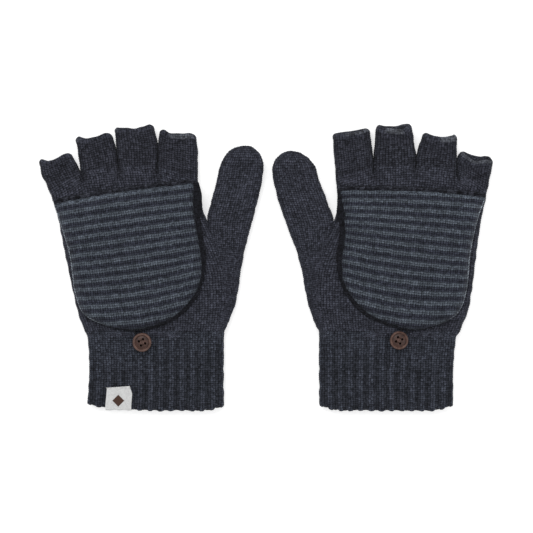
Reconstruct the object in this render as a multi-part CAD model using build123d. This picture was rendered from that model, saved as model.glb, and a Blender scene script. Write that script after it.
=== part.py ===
from build123d import *
import os
from math import atan2, cos, degrees, sin

# A pair of knitted convertible mittens, lying flat with the backs of the hands up.
# Millimetres. +X runs from the left mitten to the right one, +Y to the fingertips, +Z up.
# The origin is under the middle of the pair, on the surface that it lies on.
# Each mitten is drawn in its own hand frame: x towards the thumb, y to the fingertips,
# with zero at the middle of the cuff's lower edge. The right mitten is then mirrored.

# Driving dimensions shared by both mittens
HAND_THICKNESS = 9.6          # palm layer, air and back layer of a tube lying flat
WALL = 1.8                    # one layer of knit
TUBE_ROUNDNESS = 4.7          # radius of a tube's folded side
FINGER_EDGE = 2.4             # height of the overlocked edge of a finger
EDGE_PROUD = 0.25             # how far that edge stands out of the finger
CAP_CLEARANCE = 0.6           # the folded cap lies this far over the back of the hand
CAP_LAYER = 1.3               # one layer of the cap
CAP_POCKET = 4.3              # air between the cap's two layers
CAP_SIDE_WALL = 1.7
CAP_ROUNDNESS = 2.4
HEM_WIDTH = 2.4               # turned edge at the cap's mouth
HEM_HEIGHT = 1.8
SIDE_SEAM = 0.5               # how far the cap's seam stands out of its side
SIDE_SEAM_HEIGHT = 1.2
KNUCKLE_SEAM_WIDTH = 2.4
KNUCKLE_SEAM_HEIGHT = 0.7
HINGE_AHEAD = 3.0             # the seam that the cap turns about, ahead of its mouth
HINGE_HEIGHT = 14.1
PASSAGE = 6.0                 # half length of an opening cut between two tubes
POCKET_PAST_MOUTH = 1.0       # the cut that opens the cap's pocket runs past its mouth
NEARLY_ROUND = 0.05           # flat left at a tube's folded side
SHIFTED_POINTS = 17           # points along a curve drawn beside another one

BUTTON_THICKNESS = 2.6
BUTTON_GAP = 3.0              # shank length between the cuff and the button
BUTTON_ROUNDING = 0.78        # radius of the button's edges
BUTTON_HOLE = 0.9             # radius of a hole
BUTTON_HOLE_PITCH = 3.0
BUTTON_TURN = 26.0            # degrees
BUTTON_DISH = 0.7             # depth of the button's middle below its rim
BUTTON_RIM = 1.7
THREAD = 0.6                  # radius of a bundle of sewing thread
THREAD_KNOT = 0.6             # height of the knot under the button
THREAD_BAR = 0.5              # height of a stitch across the button
THREAD_CLEARANCE = 0.3        # air between the thread and the cuff, the button or a hole's end
SHANK = 1.1                   # radius of the wound shank
LOOP_CORD = 1.1               # thickness of the elastic loop
LOOP_INSIDE = 2.1             # its inner radius round the shank
LOOP_LIFT = 0.1               # it lies this far above the cap's underside
LOOP_REACH = 4.0              # how far it is sewn in past the cap's tip

LABEL_WIDTH = 17.1
LABEL_HEIGHT = 16.2
LABEL_CENTRE = -24.8
LABEL_SHEET = 0.5
LABEL_INNER_LEAF = 12.0
MARK_SIDE = 5.6
MARK_MIDDLE = 6.6             # height of the mark's middle above the cuff's edge
MARK_SHEET = 0.2
STITCH = 0.4
STITCH_LENGTH = 1.8
STITCH_INSET = 1.2            # from the label's top edge
STITCHES = 5

HALF_DISTANCE = 76.05         # from the middle of the pair to the middle of each cuff

FINGERS = ["little", "ring", "middle", "index"]

# Each mitten lies a little differently, so each has its own outline points.
LEFT = {
    "name": "left",
    "cuff_bottom": [(-44.4, 0.0), (44.4, 0.0)],
    "cuff_top": [(-45.5, 51.5), (44.9, 51.5)],
    "outer_side": [(-45.5, 51.5), (-51.8, 70.3), (-58.1, 104.6), (-68.5, 142.0)],
    "thumb_side": [(60.4, 115.2), (55.4, 87.5), (51.5, 66.0), (44.9, 51.5)],
    "index_side": [(28.0, 153.0), (28.6, 141.0), (33.0, 126.4)],
    "roots": [(-68.5, 142.0), (-49.5, 157.0), (-25.1, 160.0), (0.5, 160.0), (28.0, 153.0)],
    "tips": [
        [(-77.2, 163.4), (-56.4, 169.0)],
        [(-52.1, 178.5), (-28.4, 181.8)],
        [(-26.4, 185.8), (-2.6, 187.8)],
        [(2.3, 183.8), (26.4, 181.2)],
    ],
    "thumb_outer": [(60.4, 115.2), (66.7, 135.0), (71.4, 160.0)],
    "thumb_tip": (58.6, 175.2),
    "thumb_inner": [(43.4, 163.0), (39.6, 150.8), (33.0, 126.4)],
    "cap": [
        (-67.0, 137.3), (-57.4, 101.0), (-53.4, 76.5), (-44.6, 61.8), (-18.0, 53.5),
        (8.0, 60.0), (25.0, 76.0), (30.2, 93.0), (27.0, 116.0), (24.8, 150.5),
    ],
    "cap_tangents": [(0.27, -0.96), (0.0, 1.0)],
    "button": (-8.9, 45.2),
    "button_radius": 6.4,
}
RIGHT = {
    "name": "right",
    "cuff_bottom": [(-44.2, 0.3), (44.2, 0.3)],
    "cuff_top": [(-45.9, 51.5), (44.2, 51.5)],
    "outer_side": [(-45.9, 51.5), (-54.1, 72.9), (-58.6, 108.0), (-65.8, 142.0)],
    "thumb_side": [(63.6, 119.0), (56.4, 96.0), (52.1, 67.7), (44.2, 51.5)],
    "index_side": [(33.3, 153.0), (32.0, 140.0), (34.0, 126.0)],
    "roots": [(-65.8, 142.0), (-47.2, 157.0), (-19.5, 161.0), (8.3, 159.5), (33.3, 153.0)],
    "tips": [
        [(-70.3, 164.0), (-49.2, 170.3)],
        [(-46.5, 181.2), (-24.8, 182.5)],
        [(-16.2, 188.4), (6.3, 187.1)],
        [(10.9, 185.1), (35.3, 181.8)],
    ],
    "thumb_outer": [(63.6, 119.0), (71.2, 138.0), (75.6, 158.0)],
    "thumb_tip": (63.2, 171.8),
    "thumb_inner": [(47.8, 161.0), (43.0, 150.0), (34.0, 126.0)],
    "cap": [
        (-64.7, 139.9), (-58.0, 116.0), (-53.9, 81.0), (-44.0, 61.8), (-18.8, 53.6),
        (9.6, 62.7), (25.4, 79.0), (29.4, 93.0), (27.4, 116.0), (28.7, 148.5),
    ],
    "cap_tangents": [(0.34, -0.94), (0.08, 1.0)],
    "button": (-8.0, 46.5),
    "button_radius": 6.2,
}

CAVITY_BOTTOM = WALL
CAVITY_HEIGHT = HAND_THICKNESS - 2 * WALL
CAP_BOTTOM = HAND_THICKNESS + CAP_CLEARANCE
POCKET_BOTTOM = CAP_BOTTOM + CAP_LAYER
CAP_TOP = POCKET_BOTTOM + CAP_POCKET + CAP_LAYER
BUTTON_BOTTOM = HAND_THICKNESS + BUTTON_GAP


def between(start, end, share):
    """The point at a share of the way from start to end."""
    return (start[0] + (end[0] - start[0]) * share, start[1] + (end[1] - start[1]) * share)


def prism(face, bottom, height):
    """A flat face pulled up into a solid from the height bottom."""
    return extrude(Pos(0, 0, bottom) * face, amount=height, dir=(0, 0, 1))


def shifted(curve, distance):
    """A curve beside another one, to its left where the distance is positive."""
    places = []
    for step in range(SHIFTED_POINTS):
        share = step / (SHIFTED_POINTS - 1)
        place = curve @ share
        along = curve % share
        places.append((place.X - along.Y * distance, place.Y + along.X * distance))
    return Spline(*places)


def section(start, end, grow):
    """A tube's rounded section, standing on the line from start to end."""
    across = Vector(end[0] - start[0], end[1] - start[1], 0)
    middle = between(start, end, 0.5)
    plane = Plane(
        origin=(middle[0], middle[1], HAND_THICKNESS / 2 + max(grow, 0)),
        x_dir=across.normalized(),
        z_dir=Vector(-across.Y, across.X, 0).normalized(),
    )
    width = across.length + 2 * grow
    tall = HAND_THICKNESS + 2 * grow
    return plane * RectangleRounded(width, tall, tall / 2 - NEARLY_ROUND)


def tube(root, tip, grow=0.0):
    """A knitted tube, open at both ends, from one line across it to the next."""
    outside = loft([section(*root, grow), section(*tip, grow)])
    inside = loft([section(*root, -WALL), section(*tip, -WALL)])
    return outside - inside


def passage(start, end):
    """The opening across a line where one tube runs into the next."""
    across = Vector(end[0] - start[0], end[1] - start[1], 0)
    middle = between(start, end, 0.5)
    turn = degrees(atan2(across.Y, across.X))
    hole = Rectangle(across.length - 4 * WALL, 2 * PASSAGE)
    return prism(Pos(*middle, 0) * Rot(0, 0, turn) * hole, CAVITY_BOTTOM, CAVITY_HEIGHT)


def round_along(solid, curves, radius, heights):
    """Round the edges that run over the given plan curves at the given heights."""
    chosen = []
    for edge in solid.edges():
        middle = edge @ 0.5
        if not any(abs(middle.Z - height) < 0.01 for height in heights):
            continue
        plan_point = Vertex(middle.X, middle.Y, 0)
        if any(curve.distance_to(plan_point) < 0.05 for curve in curves):
            chosen.append(edge)
    return fillet(chosen, radius)


def make_cuff(hand):
    """The ribbed cuff."""
    return tube(hand["cuff_bottom"], hand["cuff_top"])


def make_hand(hand):
    """The plain knit tube round the palm and the back of the hand."""
    outer_side = Spline(*hand["outer_side"])
    thumb_side = Spline(*hand["thumb_side"])
    index_side = Spline(*hand["index_side"])
    knuckle_line = Polyline(*hand["roots"])
    thumb_root = Line(hand["index_side"][-1], hand["thumb_side"][0])
    wrist_line = Line(hand["thumb_side"][-1], hand["outer_side"][0])
    outline = make_face([outer_side, knuckle_line, index_side, thumb_root, thumb_side, wrist_line])
    solid = prism(outline, 0, HAND_THICKNESS)
    sides = [outer_side, thumb_side, index_side]
    solid = round_along(solid, sides, TUBE_ROUNDNESS, [0, HAND_THICKNESS])
    inner_sides = [shifted(curve, -WALL) for curve in sides]
    inner_outer, inner_thumb, inner_index = inner_sides
    inner_knuckles = Polyline(inner_outer @ 1, *hand["roots"][1:-1], inner_index @ 0)
    inner_root = Line(inner_index @ 1, inner_thumb @ 0)
    inner_wrist = Line(inner_thumb @ 1, inner_outer @ 0)
    cavity = make_face(inner_sides + [inner_knuckles, inner_root, inner_wrist])
    solid -= prism(cavity, CAVITY_BOTTOM, CAVITY_HEIGHT)
    solid -= passage(*hand["cuff_top"])
    solid -= passage(hand["index_side"][-1], hand["thumb_side"][0])
    for root in zip(hand["roots"], hand["roots"][1:]):
        solid -= passage(*root)
    return solid


def make_thumb(hand):
    """The full thumb, closed at its tip and open into the hand."""
    outer = Spline(*hand["thumb_outer"])
    inner = Spline(*hand["thumb_inner"])
    tip = Spline(
        [hand["thumb_outer"][-1], hand["thumb_tip"], hand["thumb_inner"][0]],
        tangents=[outer % 1, inner % 0],
    )
    root = Line(hand["thumb_inner"][-1], hand["thumb_outer"][0])
    outline = make_face([root, outer, tip, inner])
    solid = prism(outline, 0, HAND_THICKNESS)
    sides = [outer, tip, inner]
    solid = round_along(solid, sides, TUBE_ROUNDNESS, [0, HAND_THICKNESS])
    inner_sides = [shifted(curve, WALL) for curve in sides]
    inner_root = Line(inner_sides[2] @ 1, inner_sides[0] @ 0)
    solid -= prism(make_face(inner_sides + [inner_root]), CAVITY_BOTTOM, CAVITY_HEIGHT)
    solid -= passage(hand["index_side"][-1], hand["thumb_side"][0])
    return solid


def make_finger(hand, number):
    """One half finger and its overlocked edge."""
    root = (hand["roots"][number], hand["roots"][number + 1])
    tip = hand["tips"][number]
    length = Vector(tip[0][0] - root[0][0], tip[0][1] - root[0][1], 0).length
    share = 1 - FINGER_EDGE / length
    collar = (between(root[0], tip[0], share), between(root[1], tip[1], share))
    return tube(root, collar), tube(collar, tip, EDGE_PROUD)


def cap_side(hand):
    """The cap's rounded side, from one end of its mouth to the other."""
    return Spline(hand["cap"], tangents=hand["cap_tangents"])


def cap_face(hand, inset):
    """The cap's flat outline, closed by its straight mouth and drawn in by an inset."""
    side = cap_side(hand) if inset == 0 else shifted(cap_side(hand), inset)
    return make_face([side, Line(side @ 1, side @ 0)])


def mouth_box(hand, behind, ahead, bottom, height, inset):
    """A bar along the cap's mouth, from behind it to ahead of it."""
    start, end = hand["cap"][0], hand["cap"][-1]
    across = Vector(end[0] - start[0], end[1] - start[1], 0)
    middle = between(start, end, 0.5)
    turn = degrees(atan2(across.Y, across.X))
    bar = Pos(0, (ahead - behind) / 2) * Rectangle(across.length - 2 * inset, ahead + behind)
    return prism(Pos(*middle, 0) * Rot(0, 0, turn) * bar, bottom, height)


def make_cap(hand):
    """The flip cap: sewn layer, striped layer, hem, side seam and button loop."""
    outline = cap_face(hand, 0)
    under = prism(outline, CAP_BOTTOM, CAP_LAYER)
    top = prism(outline, POCKET_BOTTOM, CAP_TOP - POCKET_BOTTOM)
    top = round_along(top, [cap_side(hand)], CAP_ROUNDNESS, [CAP_TOP])
    top -= prism(cap_face(hand, CAP_SIDE_WALL), POCKET_BOTTOM, CAP_POCKET)
    top -= mouth_box(
        hand, PASSAGE, POCKET_PAST_MOUTH, POCKET_BOTTOM, CAP_POCKET, 2 * CAP_SIDE_WALL
    )
    hem = mouth_box(hand, 0, HEM_WIDTH, POCKET_BOTTOM + CAP_POCKET, HEM_HEIGHT, CAP_SIDE_WALL)
    wide = cap_face(hand, -SIDE_SEAM)
    seam_bottom = POCKET_BOTTOM - SIDE_SEAM_HEIGHT / 2
    side = cap_side(hand)
    proud = shifted(side, -SIDE_SEAM)
    band = make_face([side, Line(side @ 1, proud @ 1), proud, Line(proud @ 0, side @ 0)])
    seam = prism(band, seam_bottom, SIDE_SEAM_HEIGHT)
    loop = make_loop(hand) - prism(wide, 0, 2 * CAP_TOP)
    return {
        "cap_under": under,
        "cap_top": top,
        "cap_mouth_hem": hem,
        "cap_side_seam": seam,
        "button_loop": loop,
    }


def make_loop(hand):
    """The elastic loop that holds the folded cap, round the button's shank."""
    shank = Vector(*hand["button"], 0)
    tip = Vector(*hand["cap"][4], 0)
    anchor = Vector((shank.X + tip.X) / 2, tip.Y + LOOP_REACH, 0)
    run = anchor - shank
    turn = degrees(atan2(run.Y, run.X))
    outer = SlotCenterToCenter(run.length, 2 * (LOOP_INSIDE + LOOP_CORD))
    inner = SlotCenterToCenter(run.length, 2 * LOOP_INSIDE)
    middle = shank + run * 0.5
    place = Pos(middle.X, middle.Y, 0) * Rot(0, 0, turn)
    return prism(place * (outer - inner), CAP_BOTTOM + LOOP_LIFT, LOOP_CORD)


def make_knuckle_seam(hand):
    """The seam that holds the cap's under layer to the back of the hand."""
    ahead = HINGE_AHEAD + KNUCKLE_SEAM_WIDTH / 2
    behind = KNUCKLE_SEAM_WIDTH - ahead
    return mouth_box(hand, behind, ahead, HAND_THICKNESS, KNUCKLE_SEAM_HEIGHT, WALL)


def make_button(hand):
    """A four-hole button with a raised rim, and the thread that it hangs by."""
    radius = hand["button_radius"]
    half = BUTTON_HOLE_PITCH / 2
    turned = Rot(0, 0, BUTTON_TURN)
    dish = BUTTON_BOTTOM + BUTTON_THICKNESS - BUTTON_DISH
    disc = prism(Circle(radius), BUTTON_BOTTOM, BUTTON_THICKNESS)
    disc = fillet(disc.edges(), BUTTON_ROUNDING)
    disc -= prism(Circle(radius - BUTTON_RIM), dish, BUTTON_DISH)
    shank_bottom = HAND_THICKNESS + THREAD_CLEARANCE
    knot_top = BUTTON_BOTTOM - THREAD_CLEARANCE
    knot_bottom = knot_top - THREAD_KNOT
    bar_bottom = dish + THREAD_CLEARANCE
    leg = bar_bottom + THREAD_BAR - knot_bottom
    width = BUTTON_HOLE_PITCH + 2 * THREAD
    thread = prism(Circle(SHANK), shank_bottom, knot_top - shank_bottom)
    thread += prism(turned * Rectangle(width, width), knot_bottom, THREAD_KNOT)
    for x in (-half, half):
        for y in (-half, half):
            corner = turned * Pos(x, y)
            disc -= prism(corner * Circle(BUTTON_HOLE), BUTTON_BOTTOM, BUTTON_THICKNESS)
            thread += prism(corner * Circle(THREAD), knot_bottom, leg)
    for y in (-half, half):
        bar = turned * Pos(0, y) * Rectangle(width, 2 * THREAD)
        thread += prism(bar, bar_bottom, THREAD_BAR)
    place = Pos(*hand["button"], 0)
    return place * disc, place * thread


def make_label():
    """The woven label folded over the cuff's edge, its stitches and a plain lozenge mark."""
    left = LABEL_CENTRE - LABEL_WIDTH / 2
    front = HAND_THICKNESS
    back = HAND_THICKNESS - WALL - LABEL_SHEET
    outer_leaf = Box(LABEL_WIDTH, LABEL_HEIGHT, LABEL_SHEET, align=Align.MIN)
    inner_leaf = Box(LABEL_WIDTH, LABEL_INNER_LEAF, LABEL_SHEET, align=Align.MIN)
    fold = Box(LABEL_WIDTH, LABEL_SHEET, WALL + 2 * LABEL_SHEET, align=Align.MIN)
    label = Pos(left, 0, front) * outer_leaf
    label += Pos(left, 0, back) * inner_leaf
    label += Pos(left, -LABEL_SHEET, back) * fold
    lozenge = Rot(0, 0, 45) * Rectangle(MARK_SIDE, MARK_SIDE)
    mark = prism(Pos(LABEL_CENTRE, MARK_MIDDLE) * lozenge, front + LABEL_SHEET, MARK_SHEET)
    stitches = Part()
    for column in range(STITCHES):
        x = left + LABEL_WIDTH * (column + 0.5) / STITCHES
        stitch = Pos(x, LABEL_HEIGHT - STITCH_INSET) * Rectangle(STITCH_LENGTH, STITCH)
        stitches += prism(stitch, front + LABEL_SHEET, STITCH)
    return label, mark, stitches


def make_mitten(hand):
    """Every piece of one mitten, in its hand frame."""
    pieces = {
        "cuff": make_cuff(hand),
        "hand": make_hand(hand),
        "thumb": make_thumb(hand),
        "knuckle_seam": make_knuckle_seam(hand),
    }
    for number, finger in enumerate(FINGERS):
        sleeve, edge = make_finger(hand, number)
        pieces[finger + "_finger"] = sleeve
        pieces[finger + "_finger_edge"] = edge
    pieces.update(make_cap(hand))
    pieces["button"], pieces["button_thread"] = make_button(hand)
    return pieces


def hinge_line(hand):
    """A point on the cap's hinge and its direction, in the hand frame."""
    start, end = hand["cap"][0], hand["cap"][-1]
    turn = atan2(end[1] - start[1], end[0] - start[0])
    middle = between(start, end, 0.5)
    point = (middle[0] - sin(turn) * HINGE_AHEAD, middle[1] + cos(turn) * HINGE_AHEAD)
    return point, turn


def whole_box(shapes):
    """The box round every solid of the pair."""
    solids = []
    for shape in shapes:
        solids.extend(shape.solids())
    return Compound(solids).bounding_box()


def print_hinge(hand, side, box):
    """Print where a cap's hinge is and how it runs, in the frame of the parts."""
    point, turn = hinge_line(hand)
    x = side * (point[0] - HALF_DISTANCE) - box.center().X
    y = point[1] - box.center().Y
    axis = (round(-cos(turn), 5), round(-side * sin(turn), 5), 0)
    print(hand["name"], "cap hinge at", round(x, 2), round(y, 2), HINGE_HEIGHT, "axis", axis)


def main():
    """Make both mittens, bring the pair to the origin and write every piece."""
    left = make_mitten(LEFT)
    left["label"], left["label_mark"], left["label_stitches"] = make_label()
    right = make_mitten(RIGHT)
    nodes = {}
    for name, solid in left.items():
        nodes["left_" + name] = Pos(-HALF_DISTANCE, 0, 0) * solid
    for name, solid in right.items():
        nodes["right_" + name] = Pos(HALF_DISTANCE, 0, 0) * mirror(solid, about=Plane.YZ)
    box = whole_box(nodes.values())
    print("box", box.min, box.max)
    print_hinge(LEFT, 1, box)
    print_hinge(RIGHT, -1, box)
    shift = Pos(-box.center().X, -box.center().Y, -box.min.Z)
    os.makedirs("parts", exist_ok=True)
    for name, solid in nodes.items():
        solids = list((shift * solid).solids())
        shape = solids[0] if len(solids) == 1 else Compound(children=solids)
        export_step(shape, "parts/" + name + ".step")


main()
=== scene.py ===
import math

import bmesh
import bpy
import numpy as np
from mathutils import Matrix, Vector


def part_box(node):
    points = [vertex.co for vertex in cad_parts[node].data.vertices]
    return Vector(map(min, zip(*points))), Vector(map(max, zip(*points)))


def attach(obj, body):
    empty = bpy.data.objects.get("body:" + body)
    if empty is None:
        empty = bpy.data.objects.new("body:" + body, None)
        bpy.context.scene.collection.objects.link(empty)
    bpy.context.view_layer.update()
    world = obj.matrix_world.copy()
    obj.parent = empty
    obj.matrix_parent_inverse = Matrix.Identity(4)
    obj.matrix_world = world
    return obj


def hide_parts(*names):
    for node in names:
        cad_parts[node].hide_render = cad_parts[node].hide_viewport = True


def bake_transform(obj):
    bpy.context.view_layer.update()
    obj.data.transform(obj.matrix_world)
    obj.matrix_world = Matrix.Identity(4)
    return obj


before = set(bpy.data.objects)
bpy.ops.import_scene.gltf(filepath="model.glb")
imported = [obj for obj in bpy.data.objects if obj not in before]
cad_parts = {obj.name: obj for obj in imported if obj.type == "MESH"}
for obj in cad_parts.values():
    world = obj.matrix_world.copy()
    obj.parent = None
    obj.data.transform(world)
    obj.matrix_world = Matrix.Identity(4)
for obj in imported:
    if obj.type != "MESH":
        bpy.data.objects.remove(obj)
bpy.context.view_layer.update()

# Lengths in the hand frame are millimetres, as in the CAD model: x towards the thumb, y to the fingertips and
# z up, with zero at the middle of the cuff's lower edge. They become metres when a mesh is made.
MM = 0.001
TINY = 1e-9
CURVE_STEPS = 24  # short steps of a smooth curve between two of its points

WALE = 1.6  # width of one stitch
COURSE = 1.4  # height of one stitch
ACROSS = 4  # mesh columns in a stitch
ALONG = 3  # mesh rows in a stitch
LEAN = 0.4  # how far the legs of a stitch's V rise, in stitches
PLAIN_RELIEF = 0.42  # how far a plain stitch stands out
PURL_RELIEF = 0.3  # how far its back does
RIB_RELIEF = 0.5  # how far a rib stands out beside its groove

# Tubes. Courses are counted along them, and wales across their back.
THICKNESS = 8.9  # a tube of knit lying flat, to the foot of its stitches
WALL = 1.5
LIFT = 0.35  # room for the palm side's stitches above the table
LOWEST = 0.02  # the least height of a stitch above the table
ROLL_ROWS = 4  # mesh rows that roll over a tube's mouth
CUFF_COURSES = 37
CUFF_WALES = 54
CUFF_THICKNESS = 8.0
CUFF_MIDDLE = 4.95  # height of its middle
CUFF_LINING = 18  # courses of its lining
SCALLOP = 0.4  # how far a rib stands out past the lower edge
HAND_COURSES = 72
HAND_WALES = 58
HAND_WIDTH = 97
VALLEY = 2.4  # half the width of the dip between two fingers
THUMB_WALES = 21
THUMB_COURSES = 80  # up to where its tip starts to close
TIP_START = 0.89  # where that is, as a share of its length
TIP_COURSES = 11
FINGERS = ["little", "ring", "middle", "index"]
FINGER_FOOT = 7.0  # how far a finger reaches down inside the hand
FINGER_LINING = 9
CORNER_LENGTH = 2.5  # the mouth's corners are rounded over this length
CORNER_DEPTH = 0.5  # and drawn in by this much
CREASE_SHADE_WIDTH = 0.07  # width of the painted shade in the crease beside a neighbour, as a share of the finger's width
EDGE_ROWS = 7  # mesh rows of a finger's edge on each side of the roll

CAP_RIM = 11.4  # height of the edge of the cap's striped layer
CAP_CROWN = 15.9  # height of its middle
CAP_SLOPE = 6.5  # how far in from its edge it still rises
CAP_ROUNDING = 2.3  # how round that rise is
CAP_SOFT = 0.5  # how unevenly it lies
CAP_SHEET = 1.1  # thickness of the striped layer
MOUTH_DROP = 2.3  # how much lower it lies at its mouth
CAP_COURSE = 1.5  # its stripes are two stitches light and two dark
CAP_LENGTH = 85.0
CAP_HALF_WIDTH = 40.0
TILT_LENGTH = 45  # how far from the mouth the stripes' tilt still changes
SIDE_POINTS = 160  # points along the side of the cap's outline
JOIN_POINTS = 30  # how many at each end bend to meet its mouth
MOUTH_POINTS = 24
UNDER_LEVEL = 11.05  # height of the cap's dark layer
UNDER_DROP = 2.4  # how far it drops beside the striped one, to lie over the hand's thumb side as painted shade
CORD_COLUMNS = 10

AXIS_GAP = 0.02  # the opening that a lathe leaves round its axis, filled afterwards
BUTTON_BOTTOM = 12.6
BUTTON_THICKNESS = 2.6
BUTTON_TURN = 26
DISH_DEPTH = 0.85  # the sunken middle with the holes
HOLE_RADIUS = 0.9
HOLE_PITCH = 3.0
THREAD_RADIUS = 0.17
SHANK_RADIUS = 0.42
SHANK_FOOT = 9.7

LABEL_LEFT = -33.35
LABEL_RIGHT = -16.25
LABEL_TOP = 16.2
LABEL_FOLD = 1.35  # where its front turns over the cuff's edge
LABEL_LEAF = 11.0  # length of its inner leaf
LABEL_FRONT = 10.55  # height of its front
LABEL_BACK = 6.6  # height of its inner leaf
LABEL_SHEET = 0.32
LABEL_COLUMNS = 130
MARK_MIDDLE = 6.6
MARK_REACH = 3.9

# The outlines of each mitten as it lies. Side lines come in twos, with the little finger's side first.
# cuff, hand, thumb: the side lines of each tube.
# cuff_hem: how far the cuff's lower edge is drawn up, from side to side.
# roots, touches, tips: where the fingers leave the hand, where neighbours part, where their side lines end.
# back_mouths, palm_mouths: how far a finger's edge stands past the line between its tips, on each face.
# lips: where that edge is rolled back: from and to which share of the finger's width, how strongly, and how
# far behind the mouth.
# cap: the side of the cap's striped layer, from one end of its mouth round its tip to the other.
# under_side: the thumb side of the cap's dark layer, from its tip to its mouth. It reaches out to the hand's
# edge, where the dark layer is painted shade beside the cap.
# stripe_start, stripe_tilt, stripe_sag, stripe_gather: where the stripes start, how they lean and bow at the
# mouth and at the tip, and how far they are drawn towards the mouth in between.
LEFT = {
    "name": "left", "side": 1, "button": (-8.9, 45.2), "button_radius": 6.4,
    "cuff": [
        [(-45.2, 0.3), (-44.2, 26.0), (-45.6, 52.5)],
        [(44.2, 0.3), (44.0, 26.0), (44.5, 52.5)],
    ],
    "cuff_hem": [5.0, 2.6, 1.9, 1.1, 0.7, 0.7, 0.7, 1.0, 3.4],
    "hand": [
        [
            (-45.5, 48.5), (-47.0, 51.8), (-50.2, 59.7), (-53.0, 69.0), (-57.8, 91.4), (-61.2, 107.3),
            (-64.2, 123.1), (-68.3, 138.9), (-70.8, 145.0),
        ],
        [
            (44.5, 48.5), (45.0, 52.0), (48.0, 70.0), (47.0, 92.0), (40.0, 111.0), (32.4, 127.5),
            (28.4, 141.0), (27.2, 154.0),
        ],
    ],
    "roots": [(-70.8, 145.0), (-49.6, 158.0), (-25.1, 161.0), (0.5, 161.0), (27.2, 154.0)],
    "touches": [(-75.7, 155.6), (-49.9, 157.2), (-26.4, 170.6), (0.9, 174.5), (27.4, 170.0)],
    "tips": [
        [(-77.2, 163.4), (-56.6, 169.4)],
        [(-53.0, 178.3), (-29.5, 181.8)],
        [(-27.4, 185.6), (-2.2, 187.8)],
        [(2.3, 183.8), (26.2, 181.2)],
    ],
    "back_mouths": [
        [0.2, 1.0, -1.3, -1.5, -1.4, -0.8, -0.2, 0.2, 0.0],
        [0.8, 1.1, -0.4, -0.8, -0.6, -0.1, 0.5, 0.9, 0.0],
        [0.2, 0.0, -0.6, -1.0, -1.4, -1.2, -0.8, 0.3, 0.2],
        [0.6, 0.9, -0.9, -1.3, -1.0, -0.6, 0.0, 0.4, 0.0],
    ],
    "palm_mouths": [
        [0.0, 1.0, -0.8, -0.9, -0.8, -0.2, 0.4, 0.6, 0.0],
        [0.6, 1.2, 0.2, 0.0, 0.1, 0.6, 1.0, 1.2, 0.0],
        [0.2, 0.2, -0.1, -0.5, -0.9, -0.8, -0.3, 0.5, 0.2],
        [0.6, 0.8, -0.5, -0.8, -0.5, -0.1, 0.4, 0.6, 0.0],
    ],
    "lips": [
        (-0.2, 0.14, 0.6, 2.6), (-0.2, 0.16, 0.6, 3.0), (-0.2, 0.12, 0.5, 2.6), (0.3, 0.86, 0.8, 3.2),
    ],
    "thumb": [
        [
            (37.0, 53.0), (38.5, 72.0), (39.5, 95.0), (35.5, 114.0), (33.8, 127.0), (39.8, 150.8),
            (45.0, 175.0),
        ],
        [
            (44.6, 51.5), (48.3, 59.7), (53.4, 75.6), (56.9, 99.3), (62.8, 123.1), (67.0, 138.9),
            (70.4, 156.0), (71.6, 175.0),
        ],
    ],
    "cap": [
        (-67.0, 137.3), (-61.4, 120.0), (-56.1, 101.0), (-52.6, 76.5), (-44.2, 61.6), (-18.0, 53.5),
        (8.0, 60.0), (25.0, 76.0), (30.2, 93.0), (27.5, 114.0), (24.6, 133.0), (24.6, 150.5),
    ],
    "under_side": [
        (-18.0, 52.5), (9.4, 58.2), (27.2, 74.8), (32.4, 94.0), (32.6, 110.0), (31.7, 122.0),
        (30.5, 131.0), (30.0, 143.0), (28.4, 150.5),
    ],
    "stripe_start": 0.95, "stripe_tilt": (0.0, 0.0), "stripe_sag": (0.9, -4.0), "stripe_gather": 0.0,
}
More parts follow.
